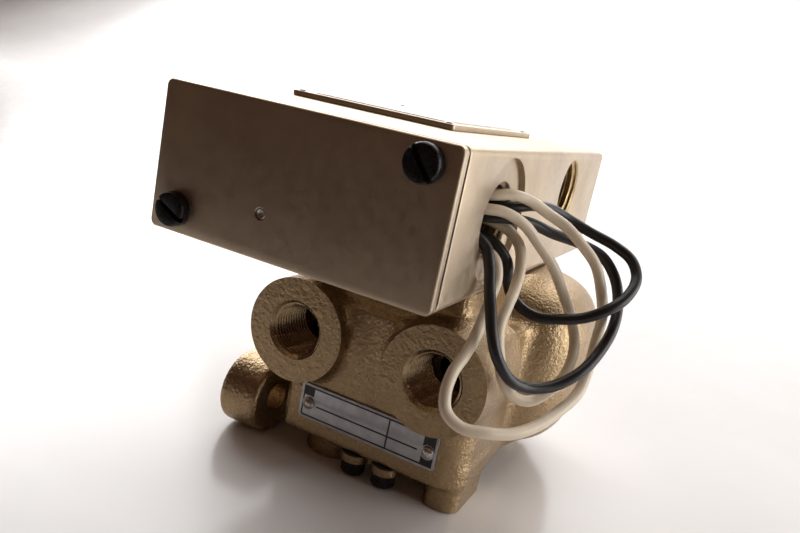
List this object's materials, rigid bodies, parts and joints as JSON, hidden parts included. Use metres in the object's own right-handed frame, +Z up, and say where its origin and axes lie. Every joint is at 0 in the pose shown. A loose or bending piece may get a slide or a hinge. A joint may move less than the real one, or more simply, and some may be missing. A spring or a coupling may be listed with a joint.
{
  "type": "solenoid directional valve",
  "caption": "Pilot-operated solenoid directional valve: cast body with threaded ports, screwed-on housing, wire leads looped at the side.",
  "frame": {"origin": "middle of the footprint without the leads, on the plane the feet stand on", "axes": "+Y from the front cover to the rear, +Z up from the feet to the housing's roof, +X towards the side with the wiring openings"},
  "size_m": [0.1177, 0.15, 0.1028],
  "materials": {
    "cast_body": "sand-cast, champagne lacquer, fine grain",
    "painted_housing": "satin champagne enamel",
    "black_steel": "black oxide",
    "steel": "bright zinc plate",
    "plain_aluminium": "machined",
    "brass": "turned",
    "rubber": "moulded nitrile",
    "gasket": "cut sheet",
    "bobbin": "moulded nylon",
    "copper_winding": "enamelled copper wire",
    "label": "glossy printed film",
    "cream_lead": "silicone insulation",
    "black_lead": "PVC insulation"
  },
  "bodies": {
    "valve": {"pilot_housing": "painted_housing", "front_cover": "painted_housing", "top_plate": "painted_housing", "cover_gasket": "gasket", "body_gasket": "gasket", "cap_gasket": "gasket", "cover_screw_lower": "black_steel", "cover_screw_upper": "black_steel", "housing_bolt_1": "black_steel", "housing_bolt_2": "black_steel", "housing_bolt_3": "black_steel", "housing_bolt_4": "black_steel", "cap_screw_1": "black_steel", "cap_screw_2": "black_steel", "cap_screw_3": "black_steel", "cap_screw_4": "black_steel", "top_label": "label", "top_plate_pin_1": "steel", "top_plate_pin_2": "steel", "top_plate_pin_3": "steel", "top_plate_pin_4": "steel", "core_tube": "steel", "pole_piece": "steel", "solenoid_yoke": "steel", "solenoid_nut": "steel", "plunger_spring": "steel", "override_spring": "steel", "nameplate_pin_left": "steel", "nameplate_pin_right": "steel", "main_spring": "steel", "pilot_block": "plain_aluminium", "bottom_cap": "cast_body", "nameplate": "plain_aluminium", "pilot_seat": "brass", "stem_bush": "brass", "coil_bobbin": "bobbin", "coil_winding": "copper_winding", "override_seal": "rubber", "valve_body": "cast_body", "lead_cream_a": "cream_lead", "lead_cream_b": "cream_lead", "lead_black_a": "black_lead", "lead_black_b": "black_lead"},
    "plunger": {"plunger": "steel", "plunger_seal": "rubber"},
    "override": {"override_pin": "steel"},
    "poppet": {"poppet_stem": "steel", "piston": "plain_aluminium", "piston_seal": "rubber", "exhaust_poppet": "steel", "exhaust_seal": "rubber", "inlet_seal": "rubber", "inlet_poppet": "steel", "stem_nut": "steel"}
  },
  "joints": [
    {"name": "plunger_slide", "type": "slide", "parent": "valve", "child": "plunger", "axis": [0, 1, 0], "range_m": [0, 0.0015], "stiffness_N_per_m": 400, "springref_m": -0.004, "deforming": ["plunger_spring"]},
    {"name": "override_press", "type": "slide", "parent": "valve", "child": "override", "axis": [0, 1, 0], "range_m": [0, 0.002], "stiffness_N_per_m": 500, "springref_m": -0.002, "deforming": ["override_spring"]},
    {"name": "poppet_shift", "type": "slide", "parent": "valve", "child": "poppet", "axis": [0, 0, -1], "range_m": [0, 0.0037], "stiffness_N_per_m": 2000, "springref_m": -0.005, "deforming": ["main_spring"]}
  ]
}
